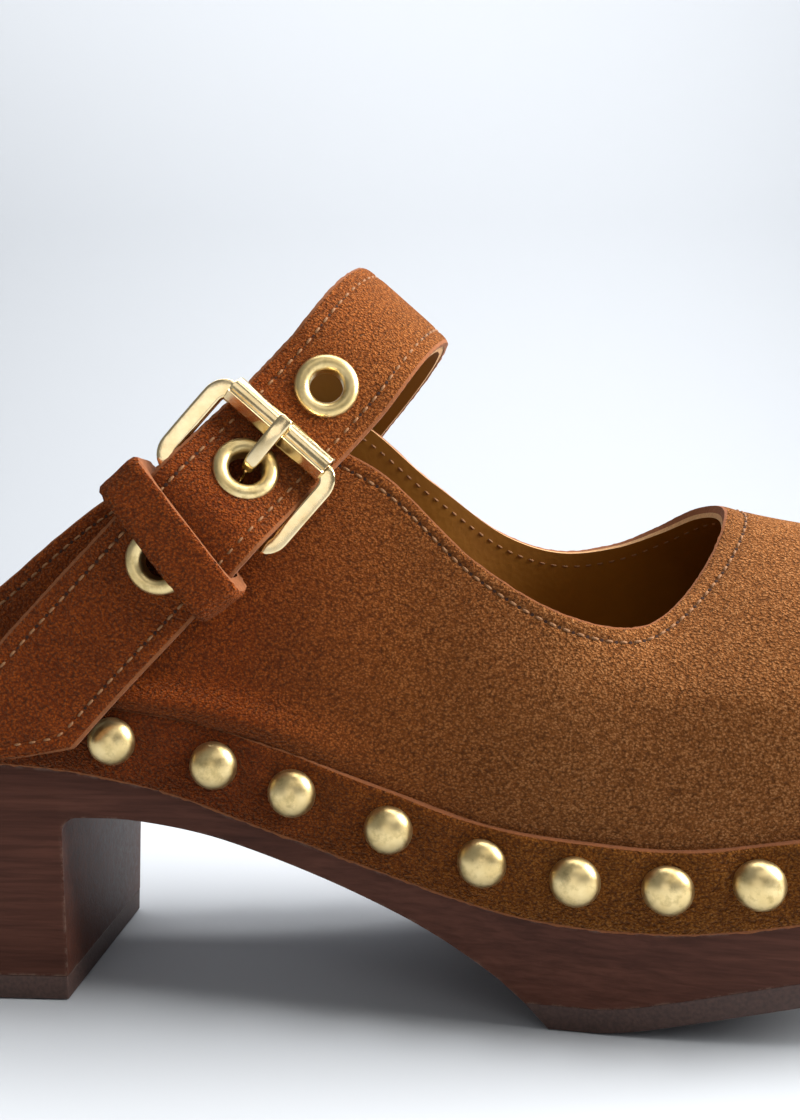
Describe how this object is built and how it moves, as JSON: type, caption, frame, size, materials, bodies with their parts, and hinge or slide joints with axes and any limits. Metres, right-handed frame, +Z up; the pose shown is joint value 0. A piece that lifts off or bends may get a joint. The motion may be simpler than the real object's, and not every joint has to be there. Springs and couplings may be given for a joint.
{
  "type": "wooden clog",
  "caption": "High-heeled wooden clog with a studded suede upper, an open back and a buckled instep strap.",
  "frame": {"origin": "middle of the object's box, at floor level", "axes": "+X to the toe, +Y to the medial side of the foot, +Z up"},
  "size_m": [0.2546, 0.0944, 0.1346],
  "materials": {
    "wood": "dark brown stain, satin, fine grain",
    "rubber": "dark brown matt rubber",
    "suede": "cognac suede with a short nap",
    "lining": "tan smooth lining leather",
    "stiffener": "pressed felt",
    "brass": "pale brass, satin to polished"
  },
  "bodies": {
    "shoe": {"wooden_sole": "wood", "heel_top_piece": "rubber", "forefoot_outsole": "rubber", "sock_lining": "lining", "upper_lining": "lining", "toe_puff": "stiffener", "upper_suede": "suede", "rand_strip": "suede", "stud_01": "brass", "stud_02": "brass", "stud_03": "brass", "stud_04": "brass", "stud_05": "brass", "stud_06": "brass", "stud_07": "brass", "stud_08": "brass", "stud_09": "brass", "stud_10": "brass", "stud_11": "brass", "stud_12": "brass", "stud_13": "brass", "stud_14": "brass", "stud_15": "brass", "stud_16": "brass", "stud_17": "brass", "stud_18": "brass", "stud_19": "brass", "stud_20": "brass", "stud_21": "brass", "stud_22": "brass", "stud_23": "brass", "stud_24": "brass", "stud_25": "brass", "stud_26": "brass", "stud_27": "brass", "stud_28": "brass", "stud_29": "brass", "stud_30": "brass", "stud_31": "brass", "strap_lining": "lining", "strap_suede": "suede", "eyelet_1": "brass", "eyelet_washer_1": "brass", "eyelet_2": "brass", "eyelet_washer_2": "brass", "eyelet_3": "brass", "eyelet_washer_3": "brass", "buckle_tab": "suede"},
    "buckle": {"buckle_frame": "brass"},
    "roller": {"buckle_roller": "brass"},
    "prong": {"buckle_prong": "brass"},
    "keeper": {"keeper_loop": "suede"}
  },
  "joints": [
    {"name": "buckle_swing", "type": "hinge", "parent": "shoe", "child": "buckle", "pos_m": [-0.04454, -0.03161, 0.09049], "axis": [0.7507, 0, -0.6607], "range_deg": [0, 5]},
    {"name": "prong_lift", "type": "hinge", "parent": "buckle", "child": "prong", "pos_m": [-0.04454, -0.03161, 0.09049], "axis": [0.7507, 0, -0.6607], "range_deg": [0, 4]},
    {"name": "roller_spin", "type": "hinge", "parent": "buckle", "child": "roller", "pos_m": [-0.03331, -0.03161, 0.10325], "axis": [0.7507, 0, -0.6607], "continuous": true},
    {"name": "keeper_slide", "type": "slide", "parent": "shoe", "child": "keeper", "axis": [-0.6607, 0, -0.7507], "range_m": [0, 0.006]}
  ]
}
